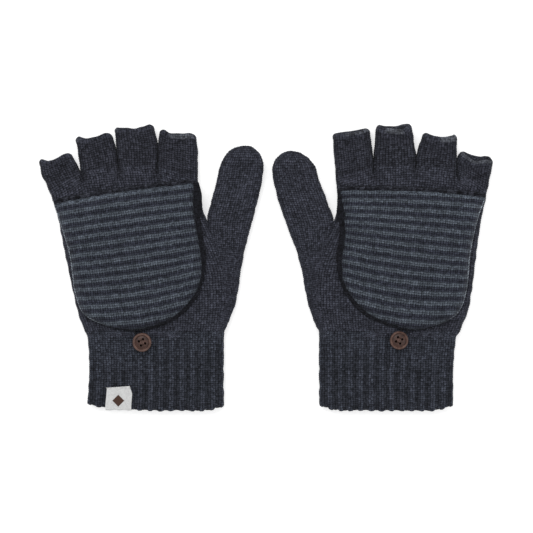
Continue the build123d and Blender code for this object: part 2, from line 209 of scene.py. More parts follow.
RIGHT = {
    "name": "right", "side": -1, "button": (-8.0, 46.5), "button_radius": 6.2,
    "cuff": [
        [(-43.9, 0.5), (-44.2, 26.0), (-46.6, 52.5)],
        [(43.6, 0.5), (43.8, 26.0), (44.0, 52.5)],
    ],
    "cuff_hem": [3.6, 0.9, 0.5, 0.5, 0.5, 0.5, 0.6, 0.9, 3.6],
    "hand": [
        [
            (-46.3, 48.5), (-48.6, 52.0), (-52.0, 59.7), (-54.9, 68.0), (-57.4, 84.0), (-59.5, 101.0),
            (-62.5, 123.0), (-65.7, 139.0), (-67.0, 145.0),
        ],
        [
            (44.0, 48.5), (44.4, 52.0), (48.0, 70.0), (47.5, 92.0), (41.0, 110.0), (33.6, 127.0),
            (31.8, 140.0), (33.0, 154.0),
        ],
    ],
    "roots": [(-67.0, 145.0), (-46.8, 159.0), (-19.7, 162.0), (8.4, 160.5), (33.0, 154.0)],
    "touches": [(-69.0, 155.5), (-46.9, 165.8), (-19.9, 168.0), (8.4, 165.4), (34.2, 168.0)],
    "tips": [
        [(-70.8, 164.0), (-49.4, 170.6)],
        [(-46.7, 181.2), (-24.6, 182.5)],
        [(-16.8, 188.4), (6.3, 187.1)],
        [(10.9, 185.1), (35.1, 181.6)],
    ],
    "back_mouths": [
        [0.0, -0.9, -1.5, -2.9, -4.1, -4.2, -3.4, -1.8, 0.0],
        [0.0, -1.0, -2.0, -2.3, -2.3, -2.1, -1.2, -0.2, 0.0],
        [0.2, -1.2, -3.9, -4.1, -3.4, -2.8, -2.1, -1.2, 0.2],
        [0.2, -0.6, -1.3, -1.4, -1.4, -1.3, -1.1, -0.7, 0.2],
    ],
    "palm_mouths": [
        [0.3, 2.2, 2.2, 0.8, 0.3, 0.2, 0.4, 0.6, 0.0],
        [0.0, -0.4, -1.2, -1.4, -1.4, -1.2, -0.4, 0.3, 0.0],
        [0.2, 0.6, 0.4, -0.2, -0.5, -0.3, 0.0, 0.8, 0.2],
        [0.2, 0.9, 0.9, 0.8, 0.6, 0.8, 0.8, 0.7, 0.2],
    ],
    "lips": [(0.05, 1.1, 0.6, 1.4), (-0.1, 0.5, 0.9, 3.4), (0.28, 0.72, 0.9, 3.0), (0.0, 0.66, 0.7, 1.2)],
    "thumb": [
        [
            (36.5, 53.0), (38.5, 72.0), (40.0, 95.0), (36.5, 114.0), (35.0, 126.5), (43.6, 150.0),
            (49.5, 171.5),
        ],
        [
            (44.0, 51.5), (47.9, 59.7), (52.6, 75.6), (57.2, 99.3), (65.8, 123.1), (71.2, 138.9),
            (75.0, 156.0), (76.2, 171.5),
        ],
    ],
    "cap": [
        (-64.7, 139.9), (-59.7, 126.0), (-55.0, 105.0), (-51.8, 77.0), (-43.4, 61.8), (-18.8, 53.6),
        (9.6, 62.7), (25.4, 79.0), (29.6, 93.0), (27.4, 116.0), (27.6, 132.0), (30.0, 148.5),
    ],
    "under_side": [
        (-18.8, 52.8), (11.0, 60.9), (27.6, 77.8), (32.4, 94.0), (33.2, 110.0), (33.2, 122.0),
        (32.4, 130.0), (31.8, 143.0), (32.4, 150.5),
    ],
    "stripe_start": 0.5, "stripe_tilt": (1.9, -1.5), "stripe_sag": (1.2, -5.0), "stripe_gather": -2.0,
}


# ---------- places ----------

def to_row(mitten, points):
    """Points in a mitten's hand frame, in millimetres, as points in the shared frame, in metres."""
    scale = np.array([mitten["side"], 1, 1]) * MM
    button = np.mean(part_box(mitten["name"] + "_button"), axis=0) * [1, 1, 0]
    return button + (np.asarray(points) - [*mitten["button"], 0]) * scale


def unit(reach):
    """The same directions with a length of one."""
    return reach / np.maximum(np.linalg.norm(reach, axis=-1, keepdims=True), TINY)


def smooth_curve(points, shares):
    """Points on a smooth curve through some points, at shares of its length."""
    points = np.asarray(points, float)
    padded = np.vstack([2 * points[0] - points[1], points, 2 * points[-1] - points[-2]])
    before, start, end, after = [padded[first:first + len(points) - 1, None] for first in range(4)]
    share = np.linspace(0, 1, CURVE_STEPS, endpoint=False)[:, None]
    fine = 0.5 * (
        2 * start + (end - before) * share
        + (2 * before - 5 * start + 4 * end - after) * share ** 2
        + (3 * start - before - 3 * end + after) * share ** 3
    )
    fine = np.vstack([fine.reshape(-1, points.shape[1]), points[-1:]])
    steps = np.linalg.norm(np.diff(fine, axis=0), axis=1)
    length = np.concatenate([[0], np.cumsum(steps)])
    wanted = np.asarray(shares) * length[-1]
    return np.stack([np.interp(wanted, length, fine[:, axis]) for axis in range(fine.shape[1])], axis=1)


def even_curve(points, count):
    """Evenly spaced points on a smooth curve through some points."""
    return smooth_curve(points, np.linspace(0, 1, count))


def line_through(offsets, shares):
    """A smooth line through evenly spaced offsets, read at shares of its length."""
    curve = even_curve(np.column_stack([np.linspace(0, 1, len(offsets)), offsets]), count=120)
    return np.interp(shares, curve[:, 0], curve[:, 1])


def soft_step(value, start, end):
    """0 before start, 1 after end, and a smooth rise between them."""
    share = np.clip((value - start) / (end - start), 0, 1)
    return share * share * (3 - 2 * share)


def waves(places, size, seed):
    """A gentle uneven surface from -1 to 1, with bumps about size across."""
    total = 0
    for number in range(4):
        angle = seed * 1.7 + number * 2.4
        pitch = 2 * math.pi / (size * (1.0 + 0.37 * number))
        along = places[..., 0] * math.cos(angle) + places[..., 1] * math.sin(angle)
        total = total + np.sin(along * pitch + seed * 5.3 + number * 1.9)
    return total / 4


def uneven(places):
    """The same points on cloth that lies a little unevenly, so that its outline isn't quite smooth."""
    shift_x = 0.22 * waves(places, 11.0, 3) + 0.3 * waves(places, 4.5, 6)
    shift_y = 0.22 * waves(places, 12.0, 8) + 0.3 * waves(places, 4.5, 1)
    places[..., 0] += shift_x
    places[..., 1] += shift_y
    return places


# ---------- stitches ----------

def stitch_grid(rows, columns):
    """Which stitch each point of a tube's mesh is in, and where in it: u across and v along."""
    v, u = np.mgrid[:rows, :columns]
    return u / ACROSS, v / ALONG


def stitch_random(u, v, seed):
    """One random number for each stitch, from 0 to 1."""
    scrambled = np.sin(np.floor(u) * 12.9898 + np.floor(v) * 78.233 + seed * 37.719) * 43758.5453
    return scrambled - np.floor(scrambled)


def beside_column(u):
    """0 in the middle of a column of stitches, and 1 in the gap between two columns."""
    return np.abs(u - np.floor(u) - 0.5) * 2


def plain_stitch(u, v):
    """Height from 0 to 1 of plain knit: columns of V shapes with gaps between them."""
    beside = beside_column(u)
    crease = 1 - 0.3 * np.exp(-(beside / 0.2) ** 2)
    column = np.clip(np.cos(np.pi / 2 * beside ** 1.5), 0, 1) ** 0.8 * crease
    rope = 0.5 + 0.5 * np.cos(2 * np.pi * (v - LEAN * beside))
    return (0.22 + 0.78 * column) * (0.22 + 0.78 * rope)


def purl_stitch(u, v):
    """Height from 0 to 1 of the back of plain knit: rows of small bumps."""
    row = np.abs(np.sin(np.pi * (v + 0.12 * np.sin(2 * np.pi * u))))
    return row * (0.7 + 0.3 * np.cos(2 * np.pi * u))


# ---------- meshes ----------

def add_object(name, data):
    """A new object in the scene."""
    added = bpy.data.objects.new(name, data)
    bpy.context.scene.collection.objects.link(added)
    return added


def mesh_object(mitten, name, places, faces, colours):
    """A smooth mesh with its stitch values stored at its points."""
    mesh = bpy.data.meshes.new(mitten["name"] + "_" + name)
    flat = to_row(mitten, places).reshape(-1, 3)
    faces = np.asarray(faces, np.int32)
    if mitten["side"] < 0:
        faces = faces[:, ::-1]
    mesh.vertices.add(len(flat))
    mesh.vertices.foreach_set("co", flat.astype(np.float32).ravel())
    mesh.loops.add(faces.size)
    mesh.loops.foreach_set("vertex_index", faces.ravel())
    mesh.polygons.add(len(faces))
    mesh.polygons.foreach_set("loop_start", np.arange(0, faces.size, faces.shape[1], dtype=np.int32))
    mesh.update(calc_edges=True)
    mesh.validate()
    mesh.polygons.foreach_set("use_smooth", np.ones(len(mesh.polygons), bool))
    values = np.ones((len(flat), 4), np.float32)
    values[:, :3] = np.asarray(colours, float).reshape(-1, 3)
    stored = mesh.color_attributes.new("knit", "FLOAT_COLOR", "POINT")
    stored.data.foreach_set("color", values.ravel())
    return add_object(mesh.name, mesh)


def grid_faces(rows, columns, around=True):
    """The faces of a grid of points, joined round its columns if it goes around."""
    numbers = np.arange(rows * columns).reshape(rows, columns)
    following = np.roll(numbers, -1, axis=1)
    if not around:
        numbers, following = numbers[:, :-1], following[:, :-1]
    return np.stack([numbers[:-1], following[:-1], following[1:], numbers[1:]], axis=-1).reshape(-1, 4)


def tube_mesh(mitten, name, places, colours):
    """A mesh from rows of points round a tube."""
    return mesh_object(mitten, name, places, grid_faces(*places.shape[:2]), colours)


def raised_by(height, places):
    """The points round a tube, each moved outward by its height."""
    across = np.roll(places, -1, axis=1) - np.roll(places, 1, axis=1)
    outward = unit(np.cross(across, np.gradient(places, axis=0)))
    return places + outward * height[..., None]


def tube_places(left, right, thickness, middle_height, columns):
    """Rows of points round a flattened tube: over its back from left to right, then back under its palm."""
    chord = right - left
    width = np.linalg.norm(chord, axis=1)[:, None]
    across = chord / width
    radius = np.minimum(thickness[:, None] / 2, width / 2 - 0.01)
    quarter = math.pi * radius / 2
    half = width - 2 * radius + 2 * quarter
    run = half * np.arange(columns)[None, :] / columns
    start = np.minimum(run, quarter) / radius
    end = np.clip(run - (half - quarter), 0, None) / radius
    flat = np.clip(run - quarter, 0, half - 2 * quarter)
    offset = radius * (1 - np.cos(start)) + flat + radius * np.sin(end)
    rise = radius * np.where(end > 0, np.cos(end), np.sin(start))
    middle = np.asarray(middle_height)[:, None]
    back = left[:, None, :] + across[:, None, :] * offset[..., None]
    palm = right[:, None, :] - across[:, None, :] * offset[..., None]
    back = np.concatenate([back, (middle + rise)[..., None]], axis=-1)
    palm = np.concatenate([palm, (middle - rise)[..., None]], axis=-1)
    return np.concatenate([back, palm], axis=1)


def share_across(places, left, right):
    """Where each point of a tube is between its two side lines, from 0 to 1."""
    return (places[..., 0] - left[:, :1]) / (right - left)[:, :1]


def rolled_mouth(outer, inner):
    """Rows that roll from a tube's outer end row over to its inner one."""
    ahead = unit(outer[-1] - outer[-3])
    middle = (outer[-1] + inner[0]) / 2
    reach = (outer[-1] - inner[0]) / 2
    size = np.linalg.norm(reach, axis=-1, keepdims=True)
    turns = math.pi * np.arange(1, ROLL_ROWS + 1) / (ROLL_ROWS + 1)
    return np.stack([middle + math.cos(turn) * reach + math.sin(turn) * size * ahead for turn in turns])


def crown(places, amount, size, seed):
    """Lift the back of a tube a little unevenly, as soft knit lies, and leave the palm side flat."""
    middle = places[..., 2].mean()
    share = soft_step(places[..., 2], middle, middle + THICKNESS / 2)
    places[..., 2] += share * amount * waves(places, size, seed)


def knit_colour(height, random, mask):
    """The three values that a knit material reads at a point."""
    return np.stack([height, random, mask + np.zeros_like(height)], axis=-1)


def finish_piece(mitten, piece, body, nodes, slot):
    """Fix a piece to its body, hide the CAD nodes it stands for and give it its material."""
    side = mitten["name"] + "_"
    if body:
        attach(piece, side + body)
    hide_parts(*[side + node for node in nodes])
    piece.data.materials.append(MATERIALS[slot])


# ---------- knitted tubes ----------

def make_tube(mitten, node, places, seed, slot="navy_plain_knit", inside=False, ribs=0.0, painted_shade=0.0):
    """A knitted tube. Its stitches stand out of it, and inside rows show their backs."""
    u, v = stitch_grid(*places.shape[:2])
    plain = plain_stitch(u, v)
    back = purl_stitch(u, v)
    random = stitch_random(u, v, seed)
    inside = np.reshape(inside, (-1, 1))
    raised_rib = 0.5 + 0.5 * np.tanh(2.6 * np.sin(np.pi * u / 2))
    height = np.where(inside, back * PURL_RELIEF, plain * PLAIN_RELIEF * (0.8 + 0.4 * random))
    height = height + ribs * RIB_RELIEF * np.where(inside, 1 - raised_rib, raised_rib)
    raised = uneven(raised_by(height, places))
    raised[..., 2] = np.maximum(raised[..., 2], LOWEST)
    # The third value is painted shade: in the rib grooves, over the fingers and in the creases beside them,
    # and in the dips between the fingers.
    colours = knit_colour(np.where(inside, back, plain), random, painted_shade + ribs * (1 - raised_rib))
    piece = tube_mesh(mitten, node + "_knit", raised, colours)
    finish_piece(mitten, piece, "mitten", [node], slot)


def lined(outer, left, right, thickness, middle_height, columns, deep):
    """A tube's rows, then the roll at its mouth and the lining inside it. Also which rows are inside."""
    across = unit(right - left) * WALL
    inner = tube_places(left + across, right - across, thickness - 2 * WALL, middle_height, columns)
    shift = outer[-1] - tube_places(left[-1:], right[-1:], thickness[-1:], middle_height[-1:], columns)[0]
    fade = soft_step(np.arange(len(inner)), len(inner) - deep, len(inner) - 1)[:, None, None]
    inner = (inner + shift * fade)[::-1][:deep]
    places = np.concatenate([outer, rolled_mouth(outer, inner), inner])
    return places, np.arange(len(places)) >= len(outer) + ROLL_ROWS // 2


def make_cuff(mitten):
    """The 2x2 ribbed cuff. Its ribs scallop the lower edge and fade towards the hand."""
    rows, columns = CUFF_COURSES * ALONG, CUFF_WALES * ACROSS
    shares = np.linspace(0, 1, rows)
    left, right = [smooth_curve(side[::-1], shares) for side in mitten["cuff"]]
    at_hem = soft_step(shares, 0.75, 1.0)
    thickness = CUFF_THICKNESS - 0.5 * at_hem + 0.7 * (1 - soft_step(shares, 0.0, 0.1))
    middle = np.full(rows, CUFF_MIDDLE)
    outer = tube_places(left, right, thickness, middle, columns)
    outer[..., 1] += line_through(mitten["cuff_hem"], share_across(outer, left, right)) * at_hem[:, None]
    rib = np.sin(np.pi / 2 * np.arange(2 * columns) / ACROSS)
    outer[..., 1] -= soft_step(shares, 0.93, 1.0)[:, None] * SCALLOP * rib
    crown(outer, 0.35, 30.0, 3)
    places, inside = lined(outer, left, right, thickness, middle, columns, CUFF_LINING * ALONG)
    places, inside = places[::-1], inside[::-1]
    # The rib strength also sets how far the grooves between ribs are darkened: painted shade.
    ribs = 1 - 0.65 * soft_step(places[..., 1] - 0.25 * places[..., 0], 22, 50)
    make_tube(mitten, "cuff", places, 11, "navy_rib_knit", inside=inside, ribs=ribs)


def make_hand(mitten):
    """The plain knit tube round the palm and the back of the hand."""
    rows, columns = HAND_COURSES * ALONG, HAND_WALES * ACROSS
    shares = np.linspace(0, 1, rows)
    left, right = [smooth_curve(side, shares) for side in mitten["hand"]]
    level = THICKNESS / 2 + LIFT
    places = tube_places(left, right, np.full(rows, THICKNESS), np.full(rows, level), columns)
    across = share_across(places, left, right)
    roots = np.asarray(mitten["roots"])
    root_share = (roots[:, 0] - roots[0, 0]) / (roots[-1, 0] - roots[0, 0])
    chord = roots[0, 1] + (roots[-1, 1] - roots[0, 1]) * root_share
    bulge = np.interp(across, root_share, roots[:, 1] - chord)
    places[..., 1] += bulge * soft_step(shares, 0.3, 1.0)[:, None]
    dips = [np.exp(-((across - root) * HAND_WIDTH / VALLEY) ** 2) for root in root_share[1:-1]]
    valley = np.max(dips, axis=0) * soft_step(shares, 0.9, 1.0)[:, None]
    places[..., 2] = level + (places[..., 2] - level) * (1 - 0.7 * valley)
    crown(places, 0.4, 38.0, 5)
    # The dips between the fingers are darkened as painted shade.
    make_tube(mitten, "hand", places, 23, painted_shade=0.8 * valley)


def make_thumb(mitten):
    """The full thumb. Its gusset runs down inside the hand to the wrist."""
    straight = np.linspace(0, TIP_START, THUMB_COURSES * ALONG)
    turn = np.linspace(0, math.pi / 2 - 0.03, TIP_COURSES * ALONG)[1:]
    shares = np.concatenate([straight, TIP_START + (1 - TIP_START) * np.sin(turn)])
    shrink = np.concatenate([np.ones(len(straight)), np.cos(turn)])
    left, right = [smooth_curve(side, shares) for side in mitten["thumb"]]
    middle_line = (left + right) / 2
    half = (right - left) / 2 * shrink[:, None]
    thickness = (THICKNESS - 0.8 * (1 - soft_step(shares, 0.35, 0.6))) * shrink ** 0.8
    level = np.full(len(shares), THICKNESS / 2 + LIFT)
    places = tube_places(middle_line - half, middle_line + half, thickness, level, THUMB_WALES * ACROSS)
    crown(places, 0.35, 26.0, 8)
    make_tube(mitten, "thumb", places, 31)


def finger_sides(mitten, number):
    """The two side lines of a half finger, from inside the hand to its mouth."""
    lines = []
    for side in (0, 1):
        root = np.asarray(mitten["roots"][number + side])
        tip = np.asarray(mitten["tips"][number][side])
        foot = root - FINGER_FOOT * unit(tip - root)
        lines.append([foot, root, mitten["touches"][number + side], tip])
    return np.asarray(lines)


def round_mouth(columns):
    """The share of a tube's width at each of its columns, and which of them are on its back."""
    around = np.arange(2 * columns) / columns
    return np.where(around < 1, around, 2 - around), around < 1


def make_finger(mitten, number):
    """A half finger with its lining, and the overlocked edge round its mouth."""
    lines = finger_sides(mitten, number)
    run = (lines[:, -1].sum(axis=0) - lines[:, 0].sum(axis=0)) / 2
    length = np.linalg.norm(run)
    rows = round(length / COURSE) * ALONG
    shares = np.linspace(0, 1, rows)
    left, right = [smooth_curve(line, shares) for line in lines]
    to_mouth = np.clip(1 - (1 - shares) * length / CORNER_LENGTH, 0, 1)
    drawn_in = unit(right - left) * CORNER_DEPTH * (1 - np.sqrt(1 - to_mouth ** 2))[:, None]
    left, right = left + drawn_in, right - drawn_in
    columns = 2 * round((np.linalg.norm(right[-1] - left[-1]) + 5) / WALE / 2) * ACROSS
    near_mouth = soft_step(shares, 0.8, 1.0)
    thickness = THICKNESS - 0.7 * (1 - soft_step(shares, 0.1, 0.5)) + 0.3 * near_mouth
    middle = THICKNESS / 2 + LIFT + 0.15 * near_mouth
    outer = tube_places(left, right, thickness, middle, columns)
    across, on_back = round_mouth(columns)
    stands = [line_through(mitten[face][number], across) for face in ("back_mouths", "palm_mouths")]
    stand = np.where(on_back, *stands) * soft_step(shares, 0.5, 1.0)[:, None]
    outer[..., :2] += stand[..., None] * run / length
    crown(outer, 0.3, 16.0, 40 + number)
    places, inside = lined(outer, left, right, thickness, middle, columns, FINGER_LINING * ALONG)
    low_down = 1 - soft_step(np.arange(len(places)) / rows, 0.45, 0.8)[:, None]
    beside_last = np.exp(-(across / CREASE_SHADE_WIDTH) ** 2) * (number > 0)
    beside_next = np.exp(-((1 - across) / CREASE_SHADE_WIDTH) ** 2) * (number < len(FINGERS) - 1)
    # Painted shade: the whole finger is darkened a little, and more in the creases beside its neighbours, low
    # down.
    painted_shade = 0.3 + 0.7 * (beside_last + beside_next) * low_down
    make_tube(mitten, FINGERS[number] + "_finger", places, 50 + number, inside=inside, painted_shade=painted_shade)
    make_finger_edge(mitten, number, places[rows - EDGE_ROWS:rows + ROLL_ROWS + EDGE_ROWS])


def make_finger_edge(mitten, number, hem):
    """The overlocked edge on the rows of a finger round its mouth. Its lip is rolled back."""
    across, on_back = round_mouth(hem.shape[1] // 2)
    start, end, strength, reach = mitten["lips"][number]
    lip = soft_step(across, start - 0.06, start + 0.1) * (1 - soft_step(across, end - 0.1, end + 0.06))
    behind_mouth = (EDGE_ROWS - np.arange(len(hem)))[:, None] * COURSE / ALONG
    lip = np.where(on_back, lip, 0.3) * strength * (1 - soft_step(behind_mouth, reach - 0.8, reach))
    u, v = stitch_grid(*hem.shape[:2])
    wraps = plain_stitch(u * 1.5, v * 1.2)
    bulge = np.sin(np.linspace(0, math.pi, len(hem)))[:, None] ** 0.6
    raised = uneven(raised_by(bulge * (0.2 + 0.3 * wraps + 0.5 * lip), hem))
    raised[..., 2] = np.maximum(raised[..., 2], LOWEST)
    name = FINGERS[number] + "_finger_edge"
    # The rolled lip takes the lighter colours: a painted highlight on the roll.
    colours = knit_colour(wraps, stitch_random(u, v, 60 + number), lip)
    edge = tube_mesh(mitten, name + "_yarn", raised, colours)
    finish_piece(mitten, edge, "mitten", [name], "navy_edge_knit")


# ---------- flat knitted layers ----------

def nearest_on(outline, points):
    """The nearest point on an open or closed line for each of some points, and its distance."""
    best = np.full(len(points), np.inf)
    place = np.zeros((len(points), 2))
    for start, end in zip(outline[:-1], outline[1:]):
        run = end - start
        share = np.clip((points - start) @ run / max(run @ run, 1e-12), 0, 1)
        candidate = start + share[:, None] * run
        distance = np.linalg.norm(points - candidate, axis=1)
        closer = distance < best
        best[closer] = distance[closer]
        place[closer] = candidate[closer]
    return place, best


def inside_of(outline, points):
    """Which points lie inside a closed outline."""
    inside = np.zeros(len(points), bool)
    for start, end in zip(outline[:-1], outline[1:]):
        crosses = (start[1] > points[:, 1]) != (end[1] > points[:, 1])
        if start[1] != end[1]:
            reach = (end[0] - start[0]) * (points[:, 1] - start[1]) / (end[1] - start[1]) + start[0]
            inside ^= crosses & (points[:, 0] < reach)
    return inside


def cap_frame(mitten):
    """The middle of the cap's mouth, the direction along it and the one towards the cap's tip."""
    start, end = np.asarray(mitten["cap"][0]), np.asarray(mitten["cap"][-1])
    along = unit(end - start)
    return (start + end) / 2, along, np.array([along[1], -along[0]])


def stripe_bend(mitten, across, run):
    """How far the cap's rows of stitches bend away from the line of its mouth."""
    share = np.clip(run / CAP_LENGTH, 0, 1)
    tilt_start, tilt_end = mitten["stripe_tilt"]
    sag_start, sag_end = mitten["stripe_sag"]
    tilt = tilt_start + (tilt_end - tilt_start) * soft_step(run, 0, TILT_LENGTH)
    sag = sag_start + (sag_end - sag_start) * share ** 1.5
    gather = mitten["stripe_gather"] * np.sin(np.pi * share)
    aside = across / CAP_HALF_WIDTH
    return tilt * aside + sag * aside ** 2 + gather


def mouth_line(mitten, ahead, reach=0.0):
    """Points along the cap's mouth from its thumb side, some way ahead of it and reaching past its ends."""
    middle, along, down = cap_frame(mitten)
    half = np.linalg.norm(np.subtract(mitten["cap"][-1], mitten["cap"][0])) / 2 + reach
    across = np.linspace(half, -half, MOUTH_POINTS)
    bend = stripe_bend(mitten, across, 0.0) - ahead
    return middle + across[:, None] * along + bend[:, None] * down


def cap_outline(mitten):
    """The side of the cap's striped layer, and the same outline closed by its mouth."""
    side = even_curve(mitten["cap"], SIDE_POINTS)
    mouth = mouth_line(mitten, 0.0)
    number = np.arange(SIDE_POINTS)[:, None]
    side = side + (mouth[-1] - side[0]) * (1 - soft_step(number, 0, JOIN_POINTS))
    side = side + (mouth[0] - side[-1]) * soft_step(number, SIDE_POINTS - JOIN_POINTS, SIDE_POINTS - 1)
    return side, np.vstack([side, mouth])


def cap_lattice(mitten, outline, step_across, step_down):
    """Points in stitch order inside an outline, with their faces. Its border points lie on the outline."""
    middle, along, down = cap_frame(mitten)
    across, run = np.meshgrid(np.arange(-60, 60.01, step_across), np.arange(-8, 104, step_down))
    bend = stripe_bend(mitten, across, run)
    points = middle + across[..., None] * along + (run + bend)[..., None] * down
    centres = (points[:-1, :-1] + points[1:, 1:]) / 2
    keep = inside_of(outline, centres.reshape(-1, 2))
    faces = grid_faces(*across.shape, False)[keep][:, [3, 2, 1, 0]]
    uses = np.bincount(faces.ravel(), minlength=across.size)
    used = np.flatnonzero(uses)
    renumber = np.full(across.size, -1)
    renumber[used] = np.arange(len(used))
    points = points.reshape(-1, 2)[used]
    border = uses[used] < 4
    points[border], _ = nearest_on(outline, points[border])
    return points, renumber[faces], across.ravel()[used], run.ravel()[used]


def rim_faces(faces, count):
    """The faces that join the border of an upper layer to the same border count points further on."""
    edges = np.concatenate([faces[:, [side, (side + 1) % 4]] for side in range(4)])
    keys = edges[:, 0] * np.int64(count) + edges[:, 1]
    reverse = edges[:, 1] * np.int64(count) + edges[:, 0]
    border = edges[~np.isin(keys, reverse)]
    return np.stack([border[:, 1], border[:, 0], border[:, 0] + count, border[:, 1] + count], axis=-1)


def layer_piece(mitten, name, upper, lower, faces, colours):
    """A closed layer, from its upper points and the heights of its lower face."""
    bottom = np.column_stack([upper[:, :2], lower])
    count = len(upper)
    places = np.concatenate([upper, bottom])
    all_faces = np.concatenate([faces, faces[:, ::-1] + count, rim_faces(faces, count)])
    return mesh_object(mitten, name, places, all_faces, np.concatenate([colours, colours]))


def cap_level(mitten, points, drop=0.0):
    """Heights of the striped layer, and how far up the slope of its edge each point is, from 0 to 1."""
    side, _ = cap_outline(mitten)
    _, depth = nearest_on(side, points)
    rise = 1 - (1 - np.clip(depth / CAP_SLOPE, 0, 1)) ** CAP_ROUNDING
    return CAP_RIM + (CAP_CROWN - CAP_RIM - drop + CAP_SOFT * waves(points, 42, 9)) * rise, rise


def make_cap_top(mitten):
    """The cap's striped layer: a soft pocket, open at its mouth."""
    _, outline = cap_outline(mitten)
    points, faces, across, run = cap_lattice(mitten, outline, WALE / ACROSS, CAP_COURSE / ALONG)
    u, v = across / WALE, (mitten["stripe_start"] - run) / CAP_COURSE
    random = stitch_random(u, v, 71)
    plain = plain_stitch(u, v)
    level, rise = cap_level(mitten, points)
    level = level + (0.25 * waves(points, 17, 4) - MOUTH_DROP * soft_step(run, 8.0, -0.5)) * rise
    relief = PLAIN_RELIEF * (0.8 + 0.4 * random) * plain * (0.35 + 0.65 * rise)
    lower = np.maximum(level - CAP_SHEET, CAP_RIM - 0.35)
    row = np.round(v - LEAN * beside_column(u))
    stripe = ((row + 1) % 4 < 2) * 1.0
    places = uneven(np.column_stack([points, level + relief]))
    piece = layer_piece(mitten, "cap_top_knit", places, lower, faces, knit_colour(plain, random, stripe))
    finish_piece(mitten, piece, "cap", ["cap_top"], "striped_knit")


def make_cap_under(mitten):
    """The cap's dark layer. It reaches from the knuckle seam under the cap, and drops at the hand's thumb
    side.
    """
    side = mitten["cap"][:5] + mitten["under_side"]
    outline = np.vstack([even_curve(side, SIDE_POINTS), mouth_line(mitten, 3.0, 0.2)])
    outline = np.vstack([outline, outline[:1]])
    points, faces, across, run = cap_lattice(mitten, outline, WALE / 3, COURSE / 3)
    u, v = across / WALE, run / COURSE
    plain = plain_stitch(u, v)
    random = stitch_random(u, v, 83)
    _, cap = cap_outline(mitten)
    _, outside = nearest_on(cap, points)
    outside = outside * ~inside_of(cap, points) * (across > 0) * (run > 0)
    # The strip beside the cap that drops over the hand's thumb side is part of the painted shade.
    level = UNDER_LEVEL + 0.15 * waves(points, 30, 2) - UNDER_DROP * soft_step(outside, 0.5, 6.0)
    places = uneven(np.column_stack([points, level + 0.2 * plain]))
    lower = level - 0.6 - 0.2 * plain
    # The layer's near-black colour is painted shade under and beside the cap; ahead of the mouth, near the
    # seam, it fades to the hand's own colours.
    near_seam = soft_step(-run, -0.6, 2.2) * (0.1 + 0.9 * random)
    piece = layer_piece(mitten, "cap_under_knit", places, lower, faces, knit_colour(plain, random, near_seam))
    finish_piece(mitten, piece, None, ["cap_under"], "dark_plain_knit")
    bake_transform(piece)


# ---------- cords, seams and edges ----------

def ring_turns(columns):
    """Evenly spaced angles once round."""
    return 2 * np.pi * np.arange(columns) / columns


def sweep_places(path, wide, tall, columns):
    """Rows of points round a line that runs near level, wide across it and tall upwards."""
    along = unit(np.gradient(path, axis=0) * [1, 1, 0])
    right = np.cross(along, [0, 0, 1])
    turn = ring_turns(columns)[:, None]
    wide, tall = [np.broadcast_to(size, len(path))[:, None, None] for size in (wide, tall)]
    return path[:, None] - np.cos(turn) * right[:, None] * wide + np.sin(turn) * [0, 0, 1] * tall


def twisted_cord(mitten, name, line, level, radius, pitch, relief, light=0.0):
    """A seam or cord at one height, whose strands wind round it. It is drawn in at both ends."""
    path = np.column_stack([line, np.full(len(line), level)])
    steps = np.linalg.norm(np.diff(path, axis=0), axis=1)
    run = np.concatenate([[0], np.cumsum(steps)])
    ends = np.sqrt(np.clip(np.minimum(run, run[-1] - run) / radius, 0.02, 1))
    places = sweep_places(path, radius * ends, radius * ends, CORD_COLUMNS)
    winding = run[:, None] / pitch
    strand = 0.5 + 0.5 * np.cos(2 * ring_turns(CORD_COLUMNS) + 2 * np.pi * winding)
    places = raised_by(relief * strand * ends[:, None], places)
    random = stitch_random(np.broadcast_to(winding, strand.shape), np.zeros(strand.shape), 5)
    # light is the share of painted highlight along the cord, in the yarn's lighter colours.
    return tube_mesh(mitten, name, places, knit_colour(strand, random, np.reshape(light, (-1, 1))))


def make_seams(mitten):
    """The knuckle seam, and the cap's side seam, which has a painted highlight along the little finger's
    side. Elsewhere the seam yarn is dark as painted shade.
    """
    line = even_curve(mouth_line(mitten, ahead=2.7, reach=-1.5), count=380)
    # The knuckle seam's dark colours are painted shade along the line under the cap's mouth.
    piece = twisted_cord(
        mitten, "knuckle_seam_yarn", line, level=10.15, radius=0.55, pitch=2.2, relief=0.25,
    )
    finish_piece(mitten, piece, "mitten", ["knuckle_seam"], "navy_seam_yarn")

    side, _ = cap_outline(mitten)
    line = even_curve(side, count=900)
    # Painted highlight along the little finger's side; the rest stays dark as painted shade.
    light = 1 - soft_step(np.linspace(0, 1, len(line)), 0.3, 0.42)
    piece = twisted_cord(
        mitten, "cap_side_seam_yarn", line, CAP_RIM - 0.15, radius=0.38, pitch=1.9, relief=0.15, light=light,
    )
    finish_piece(mitten, piece, "cap", ["cap_side_seam"], "navy_seam_yarn")


def make_mouth_hem(mitten):
    """The turned edge of the cap's mouth."""
    rows, columns, length = 260, 24, 92.0
    line = even_curve(mouth_line(mitten, ahead=-1.0, reach=-0.4), rows)[::-1]
    level, rise = cap_level(mitten, line, drop=2.9)
    places = sweep_places(np.column_stack([line, level]), 1.1, 0.5 + 0.5 * rise, columns)
    row, column = np.mgrid[:rows, :columns]
    u, v = row * length / rows / WALE, column / 6
    stitch = plain_stitch(u, v)
    places = uneven(raised_by(0.25 * stitch, places))
    piece = tube_mesh(mitten, "cap_mouth_hem_knit", places, knit_colour(stitch, stitch_random(u, v, 90), 0))
    finish_piece(mitten, piece, "cap", ["cap_mouth_hem"], "cap_hem_knit")


